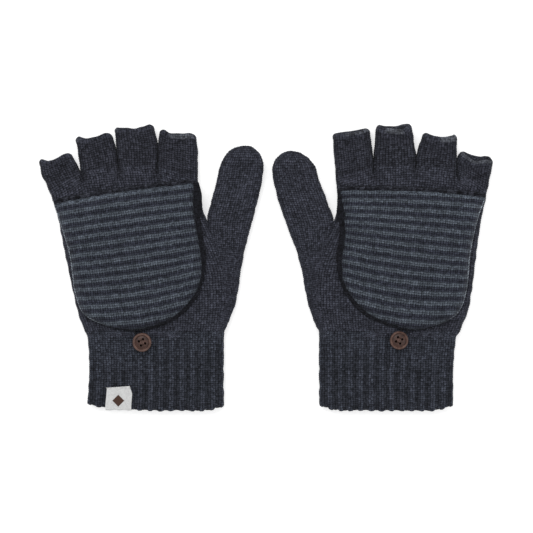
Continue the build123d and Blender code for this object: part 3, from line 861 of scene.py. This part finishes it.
def make_loop(mitten):
    """The elastic loop, from the cap's tip round the button's shank."""
    shank = np.asarray(mitten["button"])
    tip = np.asarray(mitten["cap"][5])
    anchor = np.array([(shank[0] + tip[0]) / 2, tip[1] + 2.5])
    run = unit(anchor - shank)
    beside = np.array([run[1], -run[0]])
    radius, half_gap = 2.6, 1.6
    bend = [
        shank + (beside * math.sin(angle) - run * math.cos(angle)) * radius
        for angle in np.linspace(-math.pi / 2, math.pi / 2, 13)
    ]
    line = even_curve([anchor - beside * half_gap, *bend, anchor + beside * half_gap], count=160)
    piece = twisted_cord(mitten, "button_loop_cord", line, level=10.9, radius=0.5, pitch=1.5, relief=0.1)
    finish_piece(mitten, piece, "cap", ["button_loop"], "loop_cord")


def close_ends(piece):
    """Fill the small openings left at the ends of a lathe or tube."""
    shape = bmesh.new()
    shape.from_mesh(piece.data)
    bmesh.ops.holes_fill(shape, edges=[edge for edge in shape.edges if edge.is_boundary], sides=0)
    shape.to_mesh(piece.data)
    shape.free()


def round_strands(mitten, name, strands):
    """Round strands along smooth curves, as one piece. Each has its points, its rows and its radius."""
    places, faces, count = [], [], 0
    turn = ring_turns(CORD_COLUMNS)[None, :, None]
    for points, rows, radius in strands:
        line = even_curve(points, rows)
        run = line[-1] - line[0]
        aside = np.broadcast_to(unit(np.array([-run[1], run[0], 0.0])), line.shape)
        other = np.cross(unit(np.gradient(line, axis=0)), aside)
        ring = np.cos(turn) * aside[:, None] + np.sin(turn) * other[:, None]
        places.append((line[:, None] + ring * radius).reshape(-1, 3))
        faces.append(grid_faces(rows, CORD_COLUMNS) + count)
        count += rows * CORD_COLUMNS
    places = np.concatenate(places)
    piece = mesh_object(mitten, name, places, np.concatenate(faces), np.full(places.shape, 0.5))
    close_ends(piece)
    return piece


# ---------- button ----------

def lathe(profile, columns):
    """Rows of points round the upright axis, from a profile of radius and height."""
    radius, height = np.asarray(profile, float).T[..., None]
    turn = ring_turns(columns)
    x = radius * np.cos(turn)
    return np.stack([x, radius * np.sin(turn), np.broadcast_to(height, x.shape)], axis=-1)


def cut_holes(piece, cutters):
    """Cut other objects out of a piece, and delete them."""
    for cutter in cutters:
        cut = piece.modifiers.new("hole", "BOOLEAN")
        cut.operation = "DIFFERENCE"
        cut.solver = "EXACT"
        cut.object = cutter
    bpy.context.view_layer.update()
    shown = piece.evaluated_get(bpy.context.evaluated_depsgraph_get())
    old, piece.data = piece.data, bpy.data.meshes.new_from_object(shown)
    piece.modifiers.clear()
    piece.data.name = old.name
    bpy.data.meshes.remove(old)
    for cutter in cutters:
        bpy.data.meshes.remove(cutter.data)


def hole_places(mitten):
    """The middles of the button's four holes, in order round it."""
    turns = np.radians(BUTTON_TURN + 45 + 90 * np.arange(4))
    around = np.stack([np.cos(turns), np.sin(turns), np.zeros(4)], axis=-1)
    return np.array([*mitten["button"], 0.0]) + around * HOLE_PITCH / math.sqrt(2)


def make_button(mitten):
    """The four-hole button with its raised rim."""
    middle = np.array([*mitten["button"], 0.0])
    radius = mitten["button_radius"] - 0.2
    top = BUTTON_BOTTOM + BUTTON_THICKNESS
    profile = [(reach, top - depth) for reach, depth in (
        (AXIS_GAP, DISH_DEPTH), (3.1, DISH_DEPTH), (3.6, 0.95), (3.95, 1.15), (4.3, 1.1), (4.55, 0.7),
        (4.85, 0.25), (5.25, 0.03), (radius - 0.75, 0.03), (radius - 0.3, 0.3), (radius, 0.9), (radius, 1.6),
        (radius - 0.35, 2.2), (radius - 1.0, BUTTON_THICKNESS), (AXIS_GAP, BUTTON_THICKNESS),
    )]
    places = lathe(profile, columns=96)
    rim = soft_step(np.linalg.norm(places[..., :2], axis=-1), 4.3, 4.9)
    faces = grid_faces(*places.shape[:2])[:, ::-1]
    disc = mesh_object(mitten, "button_disc", middle + places, faces, knit_colour(rim, rim, rim))
    close_ends(disc)
    low, high = BUTTON_BOTTOM - 1, top + 1
    bore = lathe([(AXIS_GAP, low), (HOLE_RADIUS, low), (HOLE_RADIUS, high), (AXIS_GAP, high)], columns=24)
    cutters = [tube_mesh(mitten, "bore", hole + bore, np.zeros(bore.shape)) for hole in hole_places(mitten)]
    for cutter in cutters:
        close_ends(cutter)
    cut_holes(disc, cutters)
    disc.data.set_sharp_from_angle(angle=math.radians(40))
    finish_piece(mitten, disc, "button", ["button"], "brown_button")


def make_button_thread(mitten):
    """Two double stitches through the button's holes, and the shank below it."""
    holes = hole_places(mitten)
    dish = BUTTON_BOTTOM + BUTTON_THICKNESS - DISH_DEPTH
    strands = []
    for start, end in ((holes[0], holes[1]), (holes[3], holes[2])):
        inward = unit(end - start)
        for beside in (-0.22, 0.22):
            aside = np.array([-inward[1], inward[0], 0]) * beside
            near, far = start + aside, end + aside
            strands.append(([
                near + [0, 0, BUTTON_BOTTOM - 0.6],
                near + inward * 0.7 + [0, 0, dish - 0.7],
                (near + far) / 2 + [0, 0, dish + 0.12],
                far - inward * 0.7 + [0, 0, dish - 0.7],
                far + [0, 0, BUTTON_BOTTOM - 0.6],
            ], 40, THREAD_RADIUS))
    for hole in holes:
        foot = holes.mean(axis=0) * 0.65 + hole * 0.35
        strands.append(([
            hole + [0, 0, BUTTON_BOTTOM - 0.1],
            (hole + foot) / 2 + [0, 0, BUTTON_BOTTOM - 0.5],
            foot + [0, 0, BUTTON_BOTTOM - 1.3],
            foot + [0, 0, SHANK_FOOT],
        ], 30, SHANK_RADIUS))
    thread = round_strands(mitten, "button_thread_yarn", strands)
    finish_piece(mitten, thread, "button", ["button_thread"], "dark_thread")


# ---------- label ----------

def label_path():
    """The label's line from its front's top edge, round the cuff's edge, to the end of its inner leaf."""
    front = [(y, LABEL_FRONT) for y in np.linspace(LABEL_TOP, LABEL_FOLD, 12)]
    deep = (LABEL_FRONT - LABEL_BACK) / 2
    fold = [
        (LABEL_FOLD - math.sin(turn) * 1.15, LABEL_FRONT - deep + math.cos(turn) * deep)
        for turn in np.linspace(0, math.pi, 9)[1:-1]
    ]
    inner = [(y, LABEL_BACK) for y in np.linspace(LABEL_FOLD, LABEL_FOLD + LABEL_LEAF, 8)]
    return even_curve(front + fold + inner, count=260)


def label_ripple(x, y):
    """How far the label stands up, because of the ribs below it and because it isn't quite flat."""
    return 0.14 * np.sin(np.pi * (x + 44.4) / 3.1) + 0.12 * np.sin(x * 0.31 + y * 0.2)


def make_label(mitten):
    """The pale woven label folded over the cuff's edge."""
    path = label_path()
    along = unit(np.gradient(path, axis=0))
    outward = np.stack([along[:, 1], -along[:, 0]], axis=1)
    x = np.linspace(LABEL_LEFT, LABEL_RIGHT, LABEL_COLUMNS)
    row, column = np.mgrid[:len(path), :LABEL_COLUMNS]
    weave = np.cos(np.pi / 2 * row) * np.sin(np.pi / 2 * column)
    ragged = (0.12 * np.sin(column * 1.7) + 0.08 * np.sin(column * 0.6)) * (row < 3)
    at_right = (x - LABEL_LEFT) / (LABEL_RIGHT - LABEL_LEFT)
    leaves = []
    for side in (1, -1):
        height = label_ripple(x, path[:, :1]) + side * (LABEL_SHEET / 2 + 0.03 * weave)
        y = path[:, :1] + outward[:, :1] * height + ragged
        z = path[:, 1:] + outward[:, 1:] * height
        at_top = soft_step(y, 2.0, LABEL_TOP) * (z > (LABEL_FRONT + LABEL_BACK) / 2)
        splayed = x + at_top * (0.9 - 1.9 * at_right * soft_step(y, 10.0, LABEL_TOP))
        leaves.append(np.stack([splayed, y - at_top * 1.1 * (1 - at_right), z], axis=-1))
    places = np.concatenate([leaves[0], leaves[1][:, ::-1]], axis=1)
    shade = 0.5 + 0.5 * np.concatenate([weave, weave[:, ::-1]], axis=1)
    count = 2 * LABEL_COLUMNS
    first = np.arange(LABEL_COLUMNS - 1)
    end = np.stack([first, first + 1, count - 2 - first, count - 1 - first], axis=-1)
    other_end = end[:, ::-1] + (len(path) - 1) * count
    faces = np.concatenate([grid_faces(len(path), count)[:, ::-1], end, other_end])
    label = mesh_object(mitten, "label_weave", places, faces, knit_colour(shade, shade, 0))
    finish_piece(mitten, label, "mitten", ["label"], "label_fabric")


def make_label_mark(mitten):
    """A plain lozenge on the label's front."""
    count = 21
    steps = np.linspace(-1, 1, count)
    across, run = np.meshgrid(steps, steps)
    x = (LABEL_LEFT + LABEL_RIGHT) / 2 + (across - run) * MARK_REACH / 2
    y = MARK_MIDDLE + (across + run) * MARK_REACH / 2
    upper = np.stack([x, y, LABEL_FRONT + label_ripple(x, y) + 0.34], axis=-1).reshape(-1, 3)
    faces = grid_faces(count, count, False)
    mark = layer_piece(mitten, "label_mark_ink", upper, upper[:, 2] - 0.2, faces, np.full(upper.shape, 0.5))
    finish_piece(mitten, mark, "mitten", ["label_mark"], "label_mark_ink")


def make_label_stitches(mitten):
    """The row of stitches that holds the label by its top edge."""
    count, y, low, high = 7, 15.0, 10.0, 10.75
    strands = []
    for share in (np.arange(count) + 0.5) / count:
        x = LABEL_LEFT + (LABEL_RIGHT - LABEL_LEFT) * share
        points = [(x - 0.9, y, low), (x - 0.5, y, high), (x + 0.5, y, high), (x + 0.9, y, low)]
        strands.append((points, 16, 0.16))
    stitches = round_strands(mitten, "label_stitch_thread", strands)
    finish_piece(mitten, stitches, "mitten", ["label_stitches"], "label_thread")


# ---------- materials ----------

# Yarns, by their slots in the record: the sRGB colours between the stitches and on them, the same two where
# the third stored value is 1, and how uneven the yarn is. The darker colour between the stitches is painted
# shade;
# what the third value stands for is noted at each yarn.
YARNS = {
    # navy_rib_knit: the third value darkens the grooves between ribs, as painted shade.
    "navy_rib_knit": ([(9, 10, 14), (70, 74, 85), (7, 8, 11), (52, 55, 63)], 0.9),
    # navy_plain_knit: the third value is painted shade on the fingers and in the creases between them.
    "navy_plain_knit": ([(8, 9, 13), (68, 70, 81), (4, 4, 5), (34, 34, 38)], 0.9),
    # navy_edge_knit: the third value is a painted highlight on the rolled lips.
    "navy_edge_knit": ([(10, 11, 15), (60, 62, 72), (40, 42, 48), (98, 101, 108)], 1.0),
    # navy_seam_yarn: its dark colours are painted shade along the knuckle line and the cap's shaded sides;
    # the third value is a painted highlight.
    "navy_seam_yarn": ([(9, 10, 13), (38, 40, 46), (62, 66, 72), (140, 147, 156)], 1.0),
    # dark_plain_knit: near-black as painted shade; the third value marks where it fades to the hand's colours
    # near the seam.
    "dark_plain_knit": ([(5, 5, 8), (32, 33, 39), (8, 9, 12), (66, 68, 78)], 1.0),
    "striped_knit": ([(7, 8, 12), (59, 62, 74), (27, 31, 37), (93, 100, 110)], 0.7),
    "cap_hem_knit": ([(24, 28, 34), (84, 91, 102)], 1.0),
    "loop_cord": ([(10, 10, 13), (34, 34, 37)], 1.0),
    "label_fabric": ([(194, 195, 196), (217, 217, 216)], 0.15),
}
MATERIALS = {}


def linear(red, green, blue):
    """An sRGB colour of 0 to 255 as a linear colour for a shader."""
    levels = [level / 255 for level in (red, green, blue)]
    return tuple(
        level / 12.92 if level <= 0.04045 else ((level + 0.055) / 1.055) ** 2.4 for level in levels
    ) + (1.0,)


def set_inputs(node, values):
    """Set a node's own sockets to fixed values."""
    for name, value in values.items():
        node.inputs[name].default_value = value


def plain_material(name, colour, roughness, specular, sheen=0.0):
    """A material of one colour. It is kept by its name, and its nodes can be added to."""
    material = bpy.data.materials.new(name)
    material.use_nodes = True
    shader = material.node_tree.nodes["Principled BSDF"]
    set_inputs(shader, {"Base Color": colour, "Roughness": roughness})
    set_inputs(shader, {"Specular IOR Level": specular, "Sheen Weight": sheen})
    MATERIALS[name] = material
    return material.node_tree, shader


def mixed(tree, share, first, second):
    """A colour mix of two sockets or colours."""
    node = tree.nodes.new("ShaderNodeMix")
    node.data_type = "RGBA"
    tree.links.new(share, node.inputs[0])
    for socket, value in ((node.inputs[6], first), (node.inputs[7], second)):
        if isinstance(value, tuple):
            socket.default_value = value
        else:
            tree.links.new(value, socket)
    return node.outputs[2]


def stored_values(tree):
    """The node that reads the three values stored at each point."""
    node = tree.nodes.new("ShaderNodeAttribute")
    node.attribute_name = "knit"
    return node


def noise(tree, scale, detail):
    """Noise that is fixed to the piece, from about 0.3 to 0.7."""
    place = tree.nodes.new("ShaderNodeTexCoord")
    node = tree.nodes.new("ShaderNodeTexNoise")
    set_inputs(node, {"Scale": scale, "Detail": detail})
    tree.links.new(place.outputs["Object"], node.inputs["Vector"])
    return node.outputs["Fac"]


def spread(tree, value, low, high, to_low, to_high):
    """A value moved from one range to another, and kept inside it."""
    node = tree.nodes.new("ShaderNodeMapRange")
    tree.links.new(value, node.inputs["Value"])
    set_inputs(node, {"From Min": low, "From Max": high, "To Min": to_low, "To Max": to_high})
    return node.outputs["Result"]


def knit_material(name, colours, grain):
    """Heather yarn: darker between the stitches as painted shade, lighter on them, and uneven from stitch to
    stitch.
    """
    valley, tip, *masked = [linear(*colour) for colour in colours]
    tree, shader = plain_material(name, tip, 0.95, 0.15, 0.03)
    parts = tree.nodes.new("ShaderNodeSeparateColor")
    tree.links.new(stored_values(tree).outputs["Color"], parts.inputs[0])
    height, random, mask = parts.outputs[0], parts.outputs[1], parts.outputs[2]
    if masked:
        valley = mixed(tree, mask, valley, masked[0])
        tip = mixed(tree, mask, tip, masked[1])
    colour = mixed(tree, spread(tree, height, 0.08, 0.8, 0.0, 1.0), valley, tip)
    levels = [
        (noise(tree, 900.0, 3.0), 0.32, 0.68, 0.6),
        (noise(tree, 110.0, 2.0), 0.3, 0.7, 0.14),
        (random, 0.0, 1.0, 0.46),
    ]
    for value, low, high, amount in levels:
        level = spread(tree, value, low, high, 1 - amount * grain, 1 + amount * grain)
        scaled = tree.nodes.new("ShaderNodeVectorMath")
        scaled.operation = "SCALE"
        tree.links.new(colour, scaled.inputs[0])
        tree.links.new(level, scaled.inputs["Scale"])
        colour = scaled.outputs[0]
    tree.links.new(colour, shader.inputs["Base Color"])
    bump = tree.nodes.new("ShaderNodeBump")
    set_inputs(bump, {"Strength": 0.5, "Distance": 0.0002})
    tree.links.new(noise(tree, 3200.0, 3.0), bump.inputs["Height"])
    tree.links.new(bump.outputs[0], shader.inputs["Normal"])


def button_material():
    """Brown resin, cloudy, and lighter on its raised rim than in its sunken middle."""
    tree, shader = plain_material("brown_button", linear(86, 60, 50), 0.45, 0.4)
    cloud = spread(tree, noise(tree, 420.0, 3.0), 0.35, 0.65, 0.0, 1.0)
    dish = mixed(tree, cloud, linear(48, 28, 22), linear(74, 47, 38))
    rim = mixed(tree, cloud, linear(76, 53, 45), linear(103, 78, 69))
    tree.links.new(mixed(tree, stored_values(tree).outputs["Fac"], dish, rim), shader.inputs["Base Color"])


def make_materials():
    """All the materials, by their slots in the record."""
    for name, (colours, grain) in YARNS.items():
        knit_material(name, colours, grain)
    button_material()
    plain_material("dark_thread", linear(56, 36, 29), 0.8, 0.2)
    plain_material("label_mark_ink", linear(74, 54, 46), 0.85, 0.2)
    plain_material("label_thread", linear(190, 190, 190), 0.8, 0.2)


# ---------- studio ----------

TABLE_REACH = 3.0
TABLE_LEVEL = -0.0002  # just below the mittens
WHITE = (1.0, 1.0, 1.0, 1.0)
CAMERA_PLACE = (0.00033, 0.0011, 0.987)


def make_floor():
    """A white table top that hardly shows a shadow."""
    _, shader = plain_material("table_top", (0.8, 0.8, 0.8, 1.0), 0.9, 0.0)
    set_inputs(shader, {"Emission Color": WHITE, "Emission Strength": 0.5})
    mesh = bpy.data.meshes.new("table_top")
    signs = ((-1, -1), (1, -1), (1, 1), (-1, 1))
    mesh.from_pydata([(x * TABLE_REACH, y * TABLE_REACH, TABLE_LEVEL) for x, y in signs], [], [(0, 1, 2, 3)])
    floor = add_object("table_top", mesh)
    floor.data.materials.append(MATERIALS["table_top"])


def make_light(name, place, power):
    """A soft square light that points at the middle of the pair."""
    data = bpy.data.lights.new(name, "AREA")
    data.size = 0.9
    data.energy = power
    light = add_object(name, data)
    light.location = place
    light.rotation_euler = Vector(place).to_track_quat("Z", "Y").to_euler()


def make_studio():
    """The table, the lights, the white surroundings and the camera straight above."""
    make_floor()
    make_light("main_light", (-0.35, 0.75, 1.3), 9.0)
    make_light("side_light", (0.9, -0.2, 1.1), 3.0)
    scene = bpy.context.scene
    world = bpy.data.worlds.new("white_room")
    world.use_nodes = True
    set_inputs(world.node_tree.nodes["Background"], {"Color": WHITE, "Strength": 0.62})
    scene.world = world
    scene.view_settings.view_transform = "Standard"
    data = bpy.data.cameras.new("camera")
    data.lens = 100
    data.sensor_width = 36
    camera = add_object("camera", data)
    camera.location = CAMERA_PLACE
    bpy.context.scene.camera = camera


make_materials()
for mitten in (LEFT, RIGHT):
    make_cuff(mitten)
    make_hand(mitten)
    make_thumb(mitten)
    for number in range(len(FINGERS)):
        make_finger(mitten, number)
    make_cap_under(mitten)
    make_cap_top(mitten)
    make_seams(mitten)
    make_mouth_hem(mitten)
    make_loop(mitten)
    make_button(mitten)
    make_button_thread(mitten)
make_label(LEFT)
make_label_mark(LEFT)
make_label_stitches(LEFT)
make_studio()
